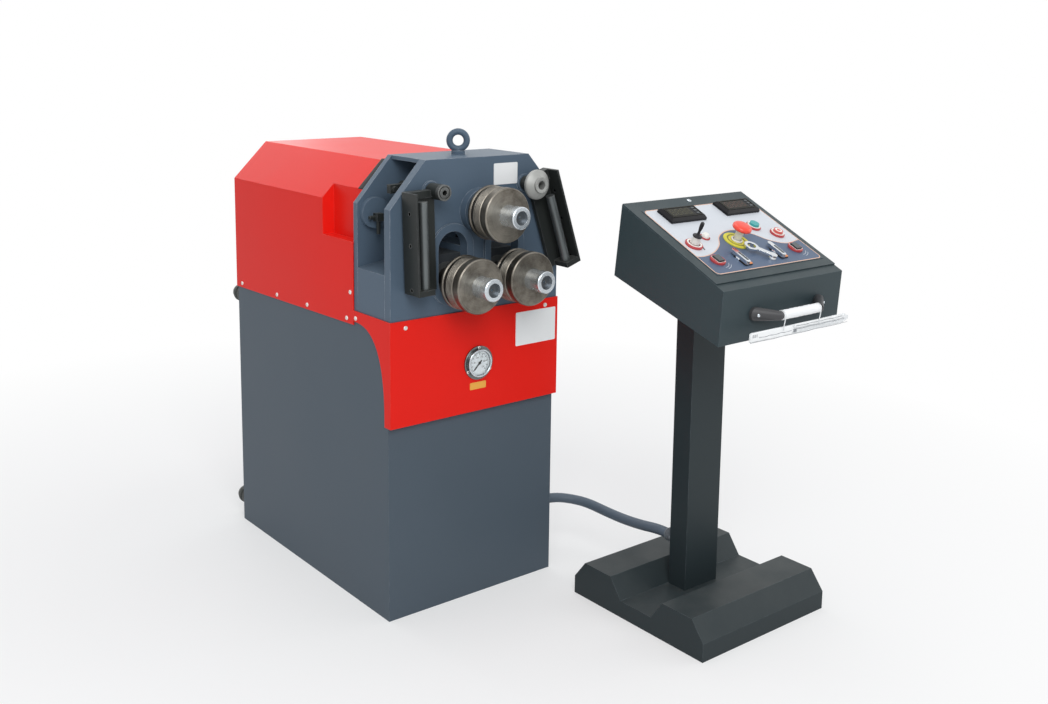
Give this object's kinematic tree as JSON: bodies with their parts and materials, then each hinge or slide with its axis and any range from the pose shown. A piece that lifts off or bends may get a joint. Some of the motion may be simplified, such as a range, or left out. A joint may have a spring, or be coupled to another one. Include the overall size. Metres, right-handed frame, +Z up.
{
  "type": "angle roll bender",
  "caption": "Angle roll bender: driven rolls on a grey cabinet with a red cover and swinging side guides, joined by a conduit to a control pedestal with a sloped console.",
  "frame": {"origin": "centre of the cabinet's floor face", "axes": "+Z up, -Y towards the front where the rolls stand, +X to the right as seen from the front"},
  "size_m": [0.9623, 1.5923, 1.258],
  "materials": {
    "cabinet_paint": "satin grey paint",
    "head_paint": "satin slate paint",
    "red_paint": "satin red paint",
    "screw_steel": "bright plated",
    "foot_rubber": "matt",
    "gauge_metal": "bright rim with a white dial",
    "needle_black": "matt",
    "roll_steel": "turned",
    "bearing_steel": "ground",
    "block_iron": "machined",
    "motor_iron": "matt paint on cast housings",
    "guide_black": "satin black",
    "pedestal_paint": "satin grey paint",
    "overlay_film": "printed film",
    "black_plastic": "matt",
    "bezel_plastic": "glossy rings",
    "red_plastic": "glossy",
    "teal_plastic": "glossy",
    "pouch_film": "clear film over paper",
    "gland_plastic": "ribbed",
    "conduit_plastic": "ribbed"
  },
  "bodies": {
    "machine": {"base_cabinet": "cabinet_paint", "front_plate": "head_paint", "rear_plate": "head_paint", "head_core": "head_paint", "top_cover": "red_paint", "front_apron": "red_paint", "cover_screws": "screw_steel", "rear_feet": "foot_rubber", "lifting_eye": "head_paint", "gauge_case": "gauge_metal", "upper_bearings": "bearing_steel", "upper_motor": "motor_iron", "left_cylinder": "block_iron", "right_cylinder": "block_iron", "guide_stops": "head_paint", "oil_tank": "cabinet_paint", "pump_motor": "motor_iron", "hydraulic_pump": "motor_iron", "pedestal_base": "pedestal_paint", "pedestal_column": "pedestal_paint", "console_box": "pedestal_paint", "console_lid": "pedestal_paint", "panel_overlay": "overlay_film", "readouts": "black_plastic", "switch_bezels": "bezel_plastic", "console_handle": "black_plastic", "document_pouch": "pouch_film", "conduit_glands": "gland_plastic", "control_conduit": "conduit_plastic"},
    "upper_roller": {"upper_shaft": "roll_steel", "upper_roll": "roll_steel", "upper_nut": "screw_steel"},
    "left_slide": {"left_block": "block_iron", "left_bearings": "bearing_steel", "left_rod": "bearing_steel", "left_motor": "motor_iron"},
    "left_roller": {"left_shaft": "roll_steel", "left_roll": "roll_steel", "left_nut": "screw_steel"},
    "right_slide": {"right_block": "block_iron", "right_bearings": "bearing_steel", "right_rod": "bearing_steel", "right_motor": "motor_iron"},
    "right_roller": {"right_shaft": "roll_steel", "right_roll": "roll_steel", "right_nut": "screw_steel"},
    "left_arm": {"left_guide": "guide_black"},
    "left_arm_roller": {"left_guide_roller": "roll_steel"},
    "right_arm": {"right_guide": "guide_black"},
    "right_arm_roller": {"right_guide_roller": "roll_steel"},
    "needle": {"gauge_needle": "needle_black"},
    "stick": {"joystick": "black_plastic"},
    "mushroom": {"emergency_stop": "red_plastic"},
    "start": {"start_button": "teal_plastic"},
    "stop": {"stop_button": "red_plastic"},
    "left_lever": {"selector_left": "screw_steel"},
    "right_lever": {"selector_right": "screw_steel"},
    "key": {"key_lever": "screw_steel"},
    "left_rocker": {"rocker_left": "black_plastic"},
    "right_rocker": {"rocker_right": "black_plastic"}
  },
  "joints": [
    {"name": "upper_spin", "type": "hinge", "parent": "machine", "child": "upper_roller", "pos_m": [0, -0.5, 1.054], "axis": [0, 1, 0], "continuous": true},
    {"name": "left_lift", "type": "slide", "parent": "machine", "child": "left_slide", "axis": [0, 0, 1], "range_m": [0, 0.05]},
    {"name": "left_spin", "type": "hinge", "parent": "left_slide", "child": "left_roller", "pos_m": [-0.083, -0.5, 0.883], "axis": [0, 1, 0], "continuous": true},
    {"name": "right_lift", "type": "slide", "parent": "machine", "child": "right_slide", "axis": [0, 0, 1], "range_m": [0, 0.05]},
    {"name": "right_spin", "type": "hinge", "parent": "right_slide", "child": "right_roller", "pos_m": [0.083, -0.5, 0.883], "axis": [0, 1, 0], "continuous": true},
    {"name": "left_guide_swing", "type": "hinge", "parent": "machine", "child": "left_arm", "pos_m": [-0.15, -0.44, 1.115], "axis": [0, 1, 0], "range_deg": [-3, 25]},
    {"name": "left_guide_roll", "type": "hinge", "parent": "left_arm", "child": "left_arm_roller", "pos_m": [-0.20697, -0.483, 1.11301], "axis": [-0.0349, 0, 0.9994], "continuous": true},
    {"name": "right_guide_swing", "type": "hinge", "parent": "machine", "child": "right_arm", "pos_m": [0.15, -0.44, 1.115], "axis": [0, 1, 0], "range_deg": [-8, 20]},
    {"name": "right_guide_roll", "type": "hinge", "parent": "right_arm", "child": "right_arm_roller", "pos_m": [0.18319, -0.483, 1.12611], "axis": [-0.3173, 0, 0.9483], "continuous": true},
    {"name": "needle_turn", "type": "hinge", "parent": "machine", "child": "needle", "pos_m": [0, -0.4425, 0.65], "axis": [0, 1, 0], "range_deg": [0, 270], "stiffness_Nm_per_rad": 0.002},
    {"name": "joystick_tilt", "type": "hinge", "parent": "machine", "child": "stick", "pos_m": [0.29936, -0.90746, 1.00326], "axis": [1, 0, 0], "range_deg": [-18, 18], "stiffness_Nm_per_rad": 1.5},
    {"name": "emergency_press", "type": "slide", "parent": "machine", "child": "mushroom", "axis": [0, 0.4261, -0.9047], "range_m": [0, 0.006], "stiffness_N_per_m": 900, "springref_m": -0.004},
    {"name": "start_press", "type": "slide", "parent": "machine", "child": "start", "axis": [0, 0.4261, -0.9047], "range_m": [0, 0.004], "stiffness_N_per_m": 600, "springref_m": -0.003},
    {"name": "stop_press", "type": "slide", "parent": "machine", "child": "stop", "axis": [0, 0.4261, -0.9047], "range_m": [0, 0.004], "stiffness_N_per_m": 600, "springref_m": -0.003},
    {"name": "selector_left_turn", "type": "hinge", "parent": "machine", "child": "left_lever", "pos_m": [0.38569, -0.97675, 0.96731], "axis": [0, -0.4261, 0.9047], "range_deg": [-45, 45]},
    {"name": "selector_right_turn", "type": "hinge", "parent": "machine", "child": "right_lever", "pos_m": [0.52542, -0.97222, 0.96944], "axis": [0, -0.4261, 0.9047], "range_deg": [-45, 45]},
    {"name": "key_turn", "type": "hinge", "parent": "machine", "child": "key", "pos_m": [0.48849, -0.99303, 0.95964], "axis": [0, -0.4261, 0.9047], "range_deg": [-24, 12]},
    {"name": "rocker_left_tilt", "type": "hinge", "parent": "machine", "child": "left_rocker", "pos_m": [0.3136, -0.97259, 0.97258], "axis": [1, 0, 0], "range_deg": [-10, 10]},
    {"name": "rocker_right_tilt", "type": "hinge", "parent": "machine", "child": "right_rocker", "pos_m": [0.6073, -0.97079, 0.97343], "axis": [1, 0, 0], "range_deg": [-10, 10]}
  ],
  "couplings": [
    {"joint": "left_spin", "follows": "upper_spin", "ratio": -1},
    {"joint": "right_spin", "follows": "upper_spin", "ratio": -1}
  ]
}
